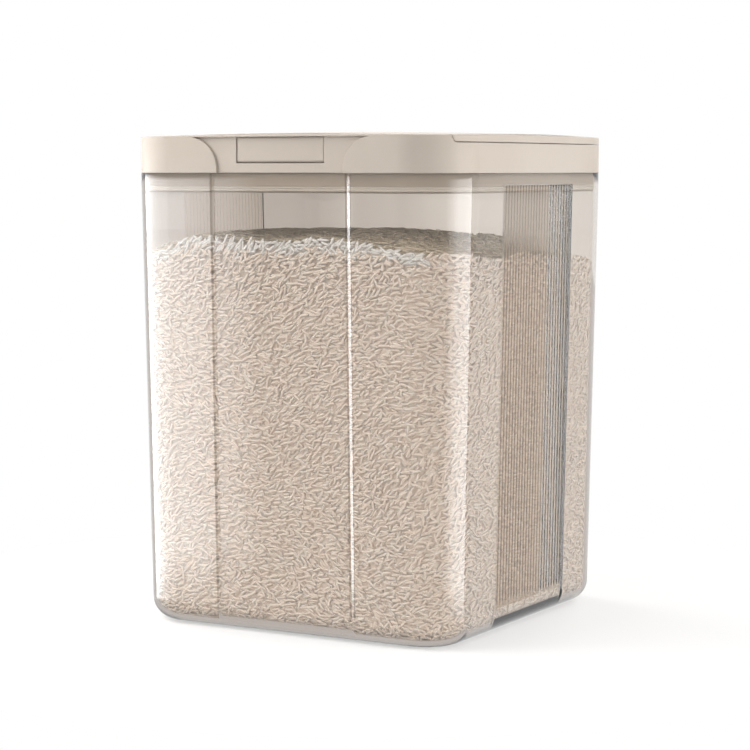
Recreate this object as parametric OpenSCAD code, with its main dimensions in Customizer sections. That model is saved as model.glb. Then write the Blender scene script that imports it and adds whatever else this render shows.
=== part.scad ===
/* [Container] */
// Outside width at the rim, left to right
bin_w = 240; // [220:1:300]
// Outside depth at the rim, front to back
bin_d = 240; // [220:1:300]
// Height of the container, from its base to its rim
bin_h = 290; // [160:1:380]
// Radius of the upright corners at the rim
corner_r = 36; // [28:1:42]
// Thickness of the clear wall
wall = 3; // [2.6:0.1:4]
// Thickness of the clear base
base_t = 6; // [4:0.5:9]
// How far each side leans in from the rim strip to the base
draft = 5.8; // [2:0.2:8]
// Height of the upright strip under the rim
rim_strip = 7; // [4:0.5:14]
// Radius of the rounding round the base
foot_r = 14; // [8:1:16]

/* [Side panels] */
// Width of the recessed panel in the middle of each side
panel_w = 96; // [60:2:120]
// How deep each panel is recessed
panel_step = 1.2; // [0.8:0.1:1.4]
// Width of the sloped edge beside each panel
step_w = 0.8; // [0.6:0.1:3]
// Number of flutes in the left and the right panel
flute_count = 24; // [12:1:30]
// Depth of each flute
flute_depth = 0.5; // [0.3:0.1:0.8]
// Height over which a flute fades out at its lower end
flute_fade = 6; // [2:1:12]
// Height of the flutes' lower ends above the foot's rounding
flute_lift = 3; // [1:0.5:10]

/* [Lid frame] */
// Height of the frame's side wall above the rim
ledge_h = 18.5; // [17:0.5:24]
// Thickness of the frame's outer wall
frame_wall = 2.4; // [1.8:0.1:3]
// Depth of the fixed bar along the front, at its top
bar_d = 11.6; // [11:0.2:14]
// How far the S-shaped seam runs back as it drops to the ledge
seam_run = 5.2; // [4:0.2:6]
// Gap between the flip cover and the frame
seam_gap = 0.4; // [0.3:0.05:0.8]
// Thickness of the deck round the mouth
deck_t = 2.4; // [1.8:0.1:3]
// Height of the deck's top above the rim
deck_h = 14; // [13:0.5:15]
// How deep the middle of the front is recessed
face_step = 1.6; // [0.8:0.1:2]
// Width of the recessed middle at the rim
face_w = 91; // [80:1:110]
// Radius of the round shoulders beside the recessed middle
shoulder_r = 20; // [12:1:21]

/* [Mouth] */
// Width of the mouth
mouth_w = 168; // [120:2:176]
// Depth of the mouth, front to back
mouth_d = 140; // [100:2:146]
// Corner radius of the mouth
mouth_r = 28; // [16:1:40]
// How far behind the middle the mouth lies
mouth_y = 6; // [4:1:8]
// Height of the bead that the seal closes on
bead_h = 1.4; // [1:0.1:1.8]
// Width of the bead
bead_w = 2.6; // [2:0.1:4]

/* [Under pan] */
// How far the pan's skirt reaches down into the container
skirt_drop = 11.2; // [10:0.2:16]
// Thickness of the pan's walls and floor
pan_t = 2; // [1.6:0.1:2.6]
// Gap between the skirt and the container's wall
skirt_gap = 0.8; // [0.5:0.1:1.2]
// Height of the gasket
gasket_h = 3; // [2.6:0.1:4]
// Depth of the gasket's groove
gasket_t = 1.8; // [1.2:0.1:2.2]
// Gap between the gasket's lips and the container's wall
gasket_gap = 0.45; // [0.4:0.05:0.5]

/* [Flip cover] */
// Thickness of the cover's top and skirt
cover_t = 2.2; // [1.8:0.1:2.6]
// Height of the cover's edge above the ledge, in the middle of a side
cover_edge = 5.8; // [5.4:0.1:8]
// Extra height of the crowned middle
crown = 2; // [1:0.1:4]
// Size of the softened top edge
edge_soft = 1.2; // [0.6:0.1:1.6]
// Thickness of the liner under the cover
liner_t = 1.8; // [1.4:0.1:2]
// How far the liner reaches past the mouth
liner_over = 9; // [7:0.5:10]
// Height of the seal ring
seal_h = 2.2; // [1.8:0.1:2.4]
// Gap that the closed seal keeps to the bead
seal_gap = 0.3; // [0.2:0.05:0.4]

/* [Press button] */
// Width of the button
button_w = 62.4; // [50:0.2:70]
// Height of the button
button_h = 15.4; // [14:0.2:15.6]
// Gap beside and under the button in its window
button_gap = 0.5; // [0.3:0.05:0.7]
// Gap over the button
button_top_gap = 0.25; // [0.2:0.05:0.5]
// How far the button presses in
button_travel = 3; // [2:0.1:3.2]
// Width of the latch tongue
tongue_w = 32; // [26:1:38]
// Radius of the button springs' coil, to the middle of the wire
button_spring_r = 2.6; // [2.2:0.1:3]

/* [Hinge] */
// Distance of the hinge axis from the back
hinge_inset = 7; // [6.6:0.1:9]
// Radius of the hinge roll
roll_r = 5.4; // [4.8:0.1:5.6]
// Length of the cover's part of the roll
barrel_w = 132; // [100:2:140]
// Radius of the steel hinge pins
pin_r = 1.5; // [1.2:0.1:1.8]
// Radial running clearance of the pins in their bores
pin_fit = 0.05; // [0.02:0.01:0.1]
// Length of the plug behind each hinge pin
plug_l = 10; // [6:1:14]
// Radius of the hinge springs' wire
hinge_wire_r = 0.4; // [0.3:0.05:0.45]

/* [Screws] */
// Radius of the screws' shank
screw_r = 1.3; // [1.1:0.1:1.5]
// Radius of the screws' heads
screw_head_r = 2.5; // [2.2:0.1:3]
// Clearance round a screw in its pilot hole
screw_fit = 0.05; // [0.02:0.01:0.1]

/* [Hidden] */
$fn = 64;

clear_tint = "#d9cdbf80";
cream = "#d5cabd";
cream_dark = "#c2b6a8";
silicone = "#ece6dc";
steel = "#b9bcc0";

over = 1;              // how far a cut runs past the face it opens
corner_steps = 12;     // flat steps in each corner of the container
foot_steps = 5;        // rings in the rounding round the base
inner_r = corner_r - wall;

// Levels, from the base up
strip_z = bin_h - rim_strip;
flute_z = foot_r + flute_lift;
ledge_z = bin_h + ledge_h;
deck_z = bin_h + deck_h;
pan_z = bin_h - skirt_drop + gasket_h;
bead_z = deck_z + bead_h;
cover_low = ledge_z + seam_gap;
bar_z = ledge_z + cover_edge - 0.4;

// Places, front to back
front_y = -bin_d / 2;
seam_y = front_y + bar_d;
hinge_y = bin_d / 2 - hinge_inset;
hinge_z = ledge_z + 0.3;
cover_back = hinge_y - roll_r - seam_gap - 0.2;
// Where the roll ends, just inside the round corners
roll_to = bin_w / 2 - corner_r - 0.5
    + sqrt(max(0, corner_r ^ 2 - (corner_r - hinge_inset + roll_r) ^ 2));

// ---------------------------------------------------------------- shared forms

// Rounded rectangle
module outline(w, d, r) {
    square([w, d - 2 * r], center = true);
    square([w - 2 * r, d], center = true);
    for (x = [-1, 1], y = [-1, 1]) translate([x * (w / 2 - r), y * (d / 2 - r)]) circle(r);
}

// Upright prism on a rounded rectangle, from one level to another
module slab(w, d, r, low, high) {
    translate([0, 0, low]) linear_extrude(high - low) outline(w, d, r);
}

// Carries a wall's section round a rounded rectangle: the section's x runs outward from it
module around(w, d, r) {
    for (k = [0:3]) {
        half_x = (k % 2 == 0 ? w : d) / 2;
        half_y = (k % 2 == 0 ? d : w) / 2;
        rotate(90 * k) translate([half_x - r, half_y - r, 0])
            rotate_extrude(angle = 90) translate([r, 0]) children();
        rotate(90 * k) translate([half_x, half_y - r, 0])
            rotate([90, 0, 0]) linear_extrude(2 * (half_y - r)) children();
    }
}

// Extrudes a front-to-back section across the bin: its x is the depth and its y the height
module across(w) {
    rotate([90, 0, 90]) linear_extrude(w, center = true) children();
}

// Cylinder along X between two places
module rod_x(r, from, to) {
    translate([from, 0, 0]) rotate([0, 90, 0]) cylinder(r = r, h = to - from);
}

// The same on the right (side 1) or the left (side -1), between two distances from the middle
module side_rod(r, side, from, to) {
    rod_x(r, side > 0 ? from : -to, side > 0 ? to : -from);
}

// Cylinder along Y between two places
module rod_y(r, from, to) {
    translate([0, from, 0]) rotate([-90, 0, 0]) cylinder(r = r, h = to - from);
}

// Box between two corners
module box(low, high) {
    translate(low) cube(high - low);
}

// Faces over m rings of n points each, closed at each end by a fan to a centre point
function skin(n, m) = concat(
    [for (i = [0:n - 1]) [m * n, i, (i + 1) % n]],
    [for (i = [0:n - 1]) [m * n + 1, (m - 1) * n + (i + 1) % n, (m - 1) * n + i]],
    [for (j = [0:m - 2]) for (i = [0:n - 1]) [j * n + i, (j + 1) * n + i, (j + 1) * n + (i + 1) % n]],
    [for (j = [0:m - 2]) for (i = [0:n - 1]) [j * n + i, (j + 1) * n + (i + 1) % n, j * n + (i + 1) % n]]);

// Solid through a stack of outlines
module loft(levels, rings) {
    n = len(rings[0]);
    m = len(rings);
    points = concat(
        [for (j = [0:m - 1]) for (p = rings[j]) [p.x, p.y, levels[j]]],
        [[0, 0, levels[0]], [0, 0, levels[m - 1]]]);
    polyhedron(points, skin(n, m), convexity = 6);
}

// ---------------------------------------------------------------- container outlines

// How far in the wall stands at a level, from the lean of the sides
function lean(z) = draft * max(0, strip_z - z) / strip_z;
// The same, from a rounding of radius r that starts at a level
function rounding(z, start, r) = z < start + r ? r - sqrt(max(0, r * r - (start + r - z) ^ 2)) : 0;
// 0 below a stretch, 1 above it, smooth between
function ease(z, start, run) = let (t = min(1, max(0, (z - start) / run))) t * t * (3 - 2 * t);

// Points along one side, as [place along it, depth below it]
function plain_side(step) = [
    [-panel_w / 2 - step_w, 0], [-panel_w / 2, step], [panel_w / 2, step], [panel_w / 2 + step_w, 0]];
function fluted_side(step, flute) = let (pitch = panel_w / flute_count) concat(
    [[-panel_w / 2 - step_w, 0], [-panel_w / 2, step]],
    [for (i = [1:2 * flute_count - 1]) [-panel_w / 2 + pitch * i / 2, step + (i % 2) * flute]],
    [[panel_w / 2, step], [panel_w / 2 + step_w, 0]]);

// Quarter turns of a point
function turned(p, k) = k == 0 ? p : k == 1 ? [-p.y, p.x] : k == 2 ? [-p.x, -p.y] : [p.y, -p.x];
function side_points(k, half, section) = [for (q = section) turned([half - q.y, q.x], k)];
function corner_points(k, cx, cy, r) = [for (i = [0:corner_steps])
    let (a = 90 * k + 90 * i / corner_steps)
    [(k == 0 || k == 3 ? cx : -cx) + r * cos(a), (k < 2 ? cy : -cy) + r * sin(a)]];

// Outer outline, set in from the rim by inset: its right and left panels are this deep, with flutes
// this deep, and its front panel is front_step deep. The back is plain.
function ring(inset, step, flute, front_step) = let (
        half_w = bin_w / 2 - inset,
        half_d = bin_d / 2 - inset,
        r = corner_r - inset)
    [for (k = [0:3]) each concat(
        k % 2 == 0 ? side_points(k, half_w, fluted_side(step, flute)) : [],
        k == 3 ? side_points(k, half_d, plain_side(front_step)) : [],
        corner_points(k, half_w - r, half_d - r, r))];

// Inner outline, which is flush all round
function inner_ring(inset) = let (r = corner_r - inset)
    [for (k = [0:3]) each corner_points(k, bin_w / 2 - corner_r, bin_d / 2 - corner_r, r)];

outer_levels = concat(
    [for (i = [0:foot_steps]) foot_r * (1 - cos(90 * i / foot_steps))],
    [flute_z, flute_z + flute_fade, strip_z - 1, strip_z, bin_h]);
outer_rings = [for (z = outer_levels) let (step = panel_step * ease(z, foot_r / 3, foot_r / 2)) ring(
    lean(z) + rounding(z, 0, foot_r),
    z >= strip_z ? 0 : step,
    z >= strip_z ? 0 : flute_depth * ease(z, flute_z, flute_fade),
    step)];

inner_foot_r = foot_r - wall;
inner_levels = concat(
    [for (i = [0:foot_steps]) base_t + inner_foot_r * (1 - cos(90 * i / foot_steps))],
    [strip_z, bin_h + over]);
inner_rings = [for (z = inner_levels) inner_ring(wall + lean(z) + rounding(z, base_t, inner_foot_r))];

// ---------------------------------------------------------------- container

// Clear bin: leaning sides, round corners and foot, a recessed panel up the front to the rim,
// and a recessed panel of upright flutes on the left and on the right
module container() {
    color(clear_tint) difference() {
        loft(outer_levels, outer_rings);
        loft(inner_levels, inner_rings);
    }
}

// ---------------------------------------------------------------- lid outline and seam

dome_r = bin_w * bin_w / (8 * crown);
dome_reach = norm([bin_w, bin_d]) / 2;
dome_steps = 10;
crown_z = ledge_z + cover_edge + crown;

// Shallow crown that caps the lid, lowered by drop
module dome(drop) {
    translate([0, 0, crown_z - drop]) rotate_extrude($fn = 128) polygon(concat(
        [[0, -crown_z]],
        [[dome_reach, -crown_z]],
        [for (i = [dome_steps:-1:0]) let (x = dome_reach * i / dome_steps) [x, -x * x / (2 * dome_r)]]));
}

// Outer form of the lid with its softened top edge
module lid_form(low) {
    slab(bin_w - 2 * edge_soft, bin_d - 2 * edge_soft, corner_r - edge_soft, low, crown_z + over);
    around(bin_w, bin_d, corner_r) polygon([
        [-edge_soft - over, low], [0, low], [0, bar_z - edge_soft],
        [-0.3 * edge_soft, bar_z - 0.3 * edge_soft], [-edge_soft, bar_z], [-edge_soft - over, bar_z]]);
}

// S-shaped seam between the front bar and the cover, seen from the side
seam_steps = 8;
function seam(shift) = [for (i = [0:seam_steps]) let (t = i / seam_steps)
    [seam_y + shift + seam_run * t, ledge_z + (crown_z - ledge_z) * (1 + cos(180 * t)) / 2]];

// Section of the front bar, which stands on the frame at the ledge's level
module bar_section() {
    polygon(concat([[front_y - over, ledge_z - over], [front_y - over, crown_z]], seam(0),
        [[seam_y + seam_run, ledge_z - over]]));
}

// Mouth outline grown by some amount
module mouth(grow, low, high) {
    translate([0, mouth_y, 0]) slab(mouth_w + 2 * grow, mouth_d + 2 * grow, mouth_r + grow, low, high);
}

// Carries a section round the mouth's outline grown by some amount
module around_mouth(grow) {
    translate([0, mouth_y, 0]) around(mouth_w + 2 * grow, mouth_d + 2 * grow, mouth_r + grow) children();
}

// ---------------------------------------------------------------- screws

// Screw with a pan head, its head's seat at the origin and its shank pointing up
module screw(length) {
    cylinder(r = screw_r, h = length);
    translate([0, 0, -screw_head_t])
        cylinder(r1 = screw_head_r - 0.5, r2 = screw_head_r, h = screw_head_t);
}

boss_r = screw_r + 2;
pilot_r = screw_r + screw_fit;
screw_head_t = 1.4;
screw_free = 0.4;      // clearance round a screw in a hole that it passes through
pan_screw_out = 13;    // distance of the pan's screws beside the mouth
pan_screw_x = mouth_w / 2 + pan_screw_out;
pan_screw_y = mouth_d / 2 - mouth_r / 2;
pan_screw_places = [for (x = [-pan_screw_x, pan_screw_x], y = [-pan_screw_y, 0, pan_screw_y])
    [x, mouth_y + y]];
// Distances of the liner's screws inside the mouth's sides, and inside its front and back
liner_screw_in = [20, 16];
liner_screw_x = mouth_w / 2 - liner_screw_in.x;
liner_screw_y = mouth_d / 2 - liner_screw_in.y;
liner_screw_places = [for (x = [-liner_screw_x, liner_screw_x], y = [-liner_screw_y, 0, liner_screw_y])
    [x, mouth_y + y]];

// ---------------------------------------------------------------- lid frame

window_w = button_w + 2 * button_gap;
strip_t = 1.6;
window_top = bar_z - strip_t;
window_low = window_top - button_h - button_gap - button_top_gap;
face_y = front_y + face_step;
wall_back = front_y + face_step + frame_wall;
flange_over = 2;       // how far the button's flange reaches past its window
bay_slack = 1;         // clearance beside the flange
bay_w = window_w + 2 * (flange_over + bay_slack);
bay_back = seam_y + 0.3 * seam_run;
tongue_side = 5;       // width of the tongue beside its opening
slot_w = tongue_w - 2 * tongue_side;

// Recess in the middle of the front, between two round shoulders
module face_recess() {
    shoulder_x = face_w / 2 + shoulder_r;
    translate([0, face_y, 0]) rotate([90, 0, 0]) linear_extrude(face_step + over) difference() {
        translate([-shoulder_x, bin_h - over]) square([2 * shoulder_x, window_top - bin_h + over]);
        for (x = [-1, 1]) {
            translate([x * shoulder_x, window_top - shoulder_r]) circle(shoulder_r);
            translate([x * shoulder_x, bin_h - over]) translate([-shoulder_r, 0])
                square([2 * shoulder_r, window_top - shoulder_r - bin_h + over]);
        }
    }
}

// Fixed upper shell of the lid: outer wall, deck, front bar and the ends of the hinge roll
module lid_frame() {
    color(cream) difference() {
        union() {
            intersection() {
                lid_form(bin_h);
                dome(0);
                union() {
                    box([-bin_w, -bin_d, bin_h], [bin_w, bin_d, ledge_z]);
                    across(bin_w + 2 * over) bar_section();
                }
            }
            frame_roll();
        }
        // Hollow below the deck, and the step above it round the mouth
        slab(bin_w - 2 * hollow_in, bin_d - 2 * hollow_in, corner_r - hollow_in,
            bin_h - over, deck_z - deck_t);
        difference() {
            slab(bin_w - 2 * frame_wall, bin_d - 2 * frame_wall, corner_r - frame_wall,
                deck_z, ledge_z + over);
            box([-bin_w, front_y, deck_z - over], [bin_w, seam_y + seam_run, ledge_z + 2 * over]);
            frame_roll();
        }
        mouth(0, deck_z - deck_t - over, ledge_z);
        face_recess();
        button_bay();
        roll_trough();
        for (side = [-1, 1]) translate([side * guide_screw_x, guide_screw_y, deck_z - deck_t - over])
            cylinder(r = pilot_r, h = deck_t - 0.4 + over);
        for (side = [-1, 1]) translate([0, hinge_y, hinge_z])
            side_rod(pin_r + pin_fit, side, barrel_w / 2, roll_to + over);
    }
    color(cream) mouth_bead();
    color(cream) frame_bosses();
}

// Raised bead round the mouth
module mouth_bead() {
    around_mouth(0) polygon([[0, deck_z - over], [bead_w, deck_z - over], [bead_w, deck_z],
        [bead_w - 0.6, bead_z], [0.6, bead_z], [0, deck_z]]);
}

// Bosses under the deck that take the pan's screws
module frame_bosses() {
    for (p = pan_screw_places) translate([p.x, p.y, pan_z + pan_t]) difference() {
        cylinder(r = boss_r, h = deck_z - over - pan_z - pan_t);
        translate([0, 0, -over]) cylinder(r = pilot_r, h = deck_z - deck_t - pan_z - pan_t);
    }
}

// Room for the button behind its window, and the slot for the cover's hook
module button_bay() {
    box([-window_w / 2, front_y - over, window_low], [window_w / 2, wall_back + over, window_top]);
    box([-bay_w / 2, wall_back, deck_z - deck_t - over], [bay_w / 2, bay_back, window_top]);
    box([-slot_w / 2, hook_y - hook_slack, deck_z - deck_t - over],
        [slot_w / 2, hook_y + hook_t + hook_nose + 1, deck_z + over]);
}

// Ends of the hinge roll, which stay on the frame
module frame_roll() {
    for (side = [-1, 1]) translate([0, hinge_y, hinge_z])
        side_rod(roll_r, side, barrel_w / 2 + seam_gap, roll_to);
}

// Trough in the deck under the cover's part of the roll
module roll_trough() {
    translate([0, hinge_y, hinge_z])
        rod_x(roll_r + seam_gap, -barrel_w / 2 - seam_gap, barrel_w / 2 + seam_gap);
}

// ---------------------------------------------------------------- under pan and gasket

skirt_w = bin_w - 2 * wall - 2 * skirt_gap;
skirt_d = bin_d - 2 * wall - 2 * skirt_gap;
skirt_r = inner_r - skirt_gap;
skirt_z = bin_h - skirt_drop;
skirt_top = bin_h + 4;
hollow_in = frame_wall + face_step;
skirt_in = max(0, hollow_in + 0.4 - wall - skirt_gap);

// Lower shell of the lid: skirt into the container, floor and throat round the mouth
module under_pan() {
    color(cream_dark) difference() {
        union() {
            around(skirt_w, skirt_d, skirt_r) polygon([
                [-gasket_t - pan_t, skirt_z - 1], [-gasket_t + 0.8, skirt_z - 1], [-gasket_t + 0.8, skirt_z],
                [-gasket_t, skirt_z], [-gasket_t, pan_z], [0, pan_z], [0, bin_h - 0.6],
                [-skirt_in, bin_h - 0.2], [-skirt_in, skirt_top], [-skirt_in - pan_t, skirt_top],
                [-skirt_in - pan_t, pan_z + pan_t], [-gasket_t - pan_t, pan_z + pan_t]]);
            slab(skirt_w - 2 * gasket_t - 2, skirt_d - 2 * gasket_t - 2, skirt_r - gasket_t - 1,
                pan_z, pan_z + pan_t);
            mouth(pan_t, skirt_z, deck_z - deck_t);
        }
        mouth(0, skirt_z - over, deck_z);
        for (p = pan_screw_places) translate([p.x, p.y, pan_z - over]) {
            cylinder(r = screw_r + screw_free, h = pan_t + 2 * over);
        }
    }
}

// The pan's screws reach halfway up the frame's bosses
pan_screw_grip = (deck_z - deck_t - pan_z - pan_t) / 2;

// Self-tapping screws that hold the pan to the frame
module pan_screws() {
    color(steel) for (p = pan_screw_places) translate([p.x, p.y, pan_z]) screw(pan_t + pan_screw_grip);
}

// Silicone ring with two lips, in the groove at the skirt's lower end
module lid_gasket() {
    lip = skirt_gap - gasket_gap;
    color(silicone) around(skirt_w, skirt_d, skirt_r) polygon([
        [-gasket_t, skirt_z], [0, skirt_z], [lip, skirt_z + 0.5], [lip, skirt_z + 0.9], [0, skirt_z + 1.3],
        [0, pan_z - 1.3], [lip, pan_z - 0.9], [lip, pan_z - 0.5], [0, pan_z], [-gasket_t, pan_z]]);
}

// ---------------------------------------------------------------- flip cover

liner_z = bead_z + seal_gap + seal_h;
spring_room = 8;       // length of roll that each hinge spring takes
barrel_end = barrel_w / 2 - spring_room;

// Section of the cover, from its seam at the front to just short of the hinge roll
module cover_section(low) {
    polygon(concat(
        seam(seam_gap),
        [[seam_y + seam_run + seam_gap, low], [cover_back, low], [cover_back, crown_z + over],
        [seam_y + seam_gap, crown_z + over]]));
}

// Crowned shell that flips up, with its part of the hinge roll
module flip_cover() {
    color(cream) difference() {
        union() {
            intersection() {
                lid_form(cover_low);
                dome(0);
                across(bin_w + 2 * over) cover_section(cover_low);
            }
            intersection() {
                lid_form(cover_low);
                dome(0);
                box([-barrel_w / 2, cover_back - over, hinge_z], [barrel_w / 2, hinge_y, crown_z]);
            }
            translate([0, hinge_y, hinge_z]) rod_x(roll_r, -barrel_end, barrel_end);
        }
        // Hollow under the crown
        intersection() {
            slab(bin_w - 2 * cover_t, bin_d - 2 * cover_t, corner_r - cover_t, cover_low - over, crown_z);
            dome(cover_t);
            box([-bin_w, seam_y + seam_run + seam_gap + cover_t, cover_low - over],
                [bin_w, cover_back - cover_t, crown_z]);
        }
        // Room for the hinge springs, and the bores for the pins
        for (side = [-1, 1]) translate([0, hinge_y, hinge_z]) {
            side_rod(hinge_coil_r + hinge_wire_r + 0.6, side, barrel_end, barrel_w / 2 + over);
            side_rod(pin_r + pin_fit, side, pin_from - over, barrel_w / 2 + over);
        }
        for (side = [-1, 1]) box(
            [side > 0 ? barrel_end : -barrel_w / 2 - over, cover_back - cover_t - over, hinge_z - over],
            [side > 0 ? barrel_w / 2 + over : -barrel_end, hinge_y,
                hinge_z + hinge_coil_r + hinge_wire_r + 0.2]);
    }
    color(cream) cover_bosses();
}

// Bosses under the crown that take the liner's screws
module cover_bosses() {
    for (p = liner_screw_places) difference() {
        intersection() {
            translate([p.x, p.y, liner_z + liner_t]) cylinder(r = boss_r, h = crown_z);
            dome(cover_t / 2);
        }
        translate([p.x, p.y, liner_z]) cylinder(r = pilot_r, h = liner_t + 2.6);
    }
}

hook_y = seam_y + seam_run + seam_gap + cover_t + 1.6;
hook_t = 2;
hook_nose = 2.4;
hook_slack = 2;        // clearance before and beside the hook
hook_w = slot_w - 2 * hook_slack;
tongue_drop = 4.4;     // depth of the tongue's underside below the deck
tongue_z = deck_z - deck_t - tongue_drop;
tongue_t = 2.6;
hook_reach = 2.6;      // how far the hook reaches below the tongue
hook_low = tongue_z - hook_reach;

// Liner under the cover, with the seal's channel and the latch hook
module cover_liner() {
    color(cream_dark) difference() {
        union() {
            mouth(liner_over, liner_z, liner_z + liner_t);
            around_mouth(0) polygon([[-2.2, liner_z - seal_h], [-0.6, liner_z - seal_h],
                [-0.6, liner_z + 0.5], [-2.2, liner_z + 0.5]]);
            hook();
        }
        for (p = liner_screw_places) translate([p.x, p.y, liner_z - over]) {
            cylinder(r = screw_r + screw_free, h = liner_t + 2 * over);
        }
    }
}

// Hook that drops through the deck's slot beside the tongue's catch
module hook() {
    across(hook_w) polygon([
        [hook_y, hook_low + 0.6], [hook_y + 0.6, hook_low],
        [hook_y + hook_t + hook_nose * 0.4, hook_low],
        [hook_y + hook_t + hook_nose, hook_low + 1.2], [hook_y + hook_t + hook_nose, hook_low + 2.2],
        [hook_y + hook_t, hook_low + 2.2], [hook_y + hook_t, liner_z],
        [hook_y + hook_t + 3, liner_z + liner_t], [hook_y, liner_z + liner_t]]);
    box([-hook_w / 2, hook_y, liner_z],
        [hook_w / 2, mouth_y - mouth_d / 2 - liner_over + 2, liner_z + liner_t]);
}

// Screws that hold the liner up against the cover
module liner_screws() {
    color(steel) for (p = liner_screw_places) translate([p.x, p.y, liner_z]) screw(liner_t + 2);
}

// Silicone ring in the liner's channel, just above the mouth's bead
module cover_seal() {
    color(silicone) around_mouth(0) polygon([
        [-0.5, liner_z - seal_h], [0.4, liner_z - seal_h], [0.9, liner_z - seal_h + 0.8],
        [bead_w - 0.9, liner_z - seal_h + 0.8], [bead_w - 0.4, liner_z - seal_h],
        [bead_w + 0.5, liner_z - seal_h], [bead_w + 0.5, liner_z], [-0.5, liner_z]]);
}

// ---------------------------------------------------------------- press button

button_y = face_y + 0.4;
button_z = window_low + button_gap;
flange_y = wall_back + 0.2;
flange_t = 1.7;
catch_y = hook_y + hook_t + hook_nose + 0.3;
spring_in = 8;         // distance of the button's springs inside its ends
spring_x = button_w / 2 - spring_in;
spring_z = (deck_z + window_top) / 2;
spring_from = flange_y + flange_t;
post_l = 1.8;

// Button with a flange behind the window, two spring posts and the latch tongue
module press_button() {
    color(cream) {
        difference() {
            box([-button_w / 2, button_y, button_z],
                [button_w / 2, flange_y + flange_t, button_z + button_h]);
            // Bevel along the lower edge of the face
            translate([0, button_y, button_z]) across(button_w + 2 * over)
                polygon([[-over, -over], [1.2, -over], [-over, 3]]);
        }
        box([-window_w / 2 - flange_over, flange_y, button_z - flange_over],
            [window_w / 2 + flange_over, flange_y + flange_t, button_z + button_h]);
        for (side = [-1, 1]) translate([side * spring_x, 0, spring_z])
            rod_y(button_spring_r - 0.9, spring_from - over, spring_from + post_l);
        tongue();
    }
}

// Flat tongue with an opening that the hook drops through
module tongue() {
    difference() {
        box([-tongue_w / 2, flange_y + over, tongue_z], [tongue_w / 2, catch_y + 4, tongue_z + tongue_t]);
        box([-hook_w / 2 - 1, hook_y - button_travel - 0.6, tongue_z - over],
            [hook_w / 2 + 1, catch_y, tongue_z + tongue_t + over]);
    }
}

// Wire wound along Z: each station is [angle, height, length of leg beyond it]
module wound_wire(r, wire, stations, sides) {
    n = sides;
    m = len(stations);
    function centre(s) = [r * cos(s[0]) - s[2] * sin(s[0]), r * sin(s[0]) + s[2] * cos(s[0]), s[1]];
    function station_ring(s) = [for (i = [0:n - 1]) let (b = 360 * i / n)
        centre(s) + wire * [cos(b) * cos(s[0]), cos(b) * sin(s[0]), sin(b)]];
    points = concat([for (s = stations) each station_ring(s)],
        [centre(stations[0]), centre(stations[m - 1])]);
    polyhedron(points, skin(n, m), convexity = 8);
}

// Compression spring between the button and the front bar's back wall
module button_spring(side) {
    turns = 4;
    steps = 12;
    wire = 0.35;
    length = bay_back - spring_from - 2 * wire - 0.04;
    color(steel) translate([side * spring_x, spring_from + wire + 0.02, spring_z]) rotate([-90, 0, 0])
        wound_wire(button_spring_r, wire,
            [for (i = [0:turns * steps]) [360 * i / steps, length * i / (turns * steps), 0]], 6);
}
module button_spring_left() {
    button_spring(-1);
}
module button_spring_right() {
    button_spring(1);
}

guide_slack = 0.4;     // clearance before and under what moves in the guide
guide_from = flange_y + flange_t + button_travel + guide_slack;
guide_to = catch_y + 3;
guide_wall = 1.8;
guide_x = tongue_w / 2 + 0.3;
guide_low = hook_low - guide_slack - guide_wall;
guide_pad_t = 3;       // thickness of the guide's screw pads
guide_pad_z = deck_z - deck_t - guide_pad_t;
guide_screw_x = guide_x + guide_wall + boss_r + 0.1;
guide_screw_y = (guide_from + guide_to) / 2;

// Channel screwed under the deck that carries the tongue
module button_guide() {
    color(cream_dark) difference() {
        union() {
            box([-guide_x - guide_wall, guide_from, guide_low],
                [guide_x + guide_wall, guide_to, deck_z - deck_t]);
            for (side = [-1, 1]) translate([side * guide_screw_x, guide_screw_y, guide_pad_z])
                cylinder(r = boss_r, h = guide_pad_t);
            box([-guide_screw_x, guide_screw_y - boss_r, guide_pad_z],
                [guide_screw_x, guide_screw_y + boss_r, deck_z - deck_t]);
        }
        box([-guide_x, guide_from - over, tongue_z - 0.2], [guide_x, guide_to + over, deck_z]);
        box([-hook_w / 2 - 2, guide_from + 2, hook_low - guide_slack],
            [hook_w / 2 + 2, guide_to + over, deck_z]);
        for (side = [-1, 1]) translate([side * guide_screw_x, guide_screw_y, guide_pad_z - over])
            cylinder(r = screw_r + screw_free, h = guide_pad_t + 2 * over);
    }
}

// Screws that hold the guide to the deck
module guide_screws() {
    color(steel) for (side = [-1, 1]) translate([side * guide_screw_x, guide_screw_y, guide_pad_z])
        screw(guide_pad_t + deck_t - 0.8);
}

// ---------------------------------------------------------------- hinge

pin_from = barrel_w / 2 - 2 * spring_room;
pin_to = roll_to - plug_l;
hinge_coil_r = pin_r + hinge_wire_r + 0.45;
spring_end = 0.4;      // gap at each end of a hinge spring

// Steel pin through one end of the roll
module hinge_pin(side) {
    color(steel) translate([0, hinge_y, hinge_z]) side_rod(pin_r, side, pin_from, pin_to);
}
module hinge_pin_left() {
    hinge_pin(-1);
}
module hinge_pin_right() {
    hinge_pin(1);
}

// Torsion spring round a pin, one leg on the deck and one under the cover
module hinge_spring(side) {
    turns = 6;
    steps = 12;
    low_leg = 11;
    high_leg = 9;
    room = spring_room - 2 * (hinge_wire_r + spring_end);
    stops = turns * steps + steps / 2;
    coil = [for (i = [0:stops]) [360 * i / steps, room * i / stops, 0]];
    last = coil[len(coil) - 1];
    stations = concat([[0, 0, -low_leg]], coil, [[last[0], last[1], high_leg]]);
    color(steel) translate([side * (barrel_w / 2 - spring_end - hinge_wire_r), hinge_y, hinge_z])
        rotate([0, -90 * side, 0]) wound_wire(hinge_coil_r, hinge_wire_r, stations, 6);
}
module hinge_spring_left() {
    hinge_spring(-1);
}
module hinge_spring_right() {
    hinge_spring(1);
}

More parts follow.
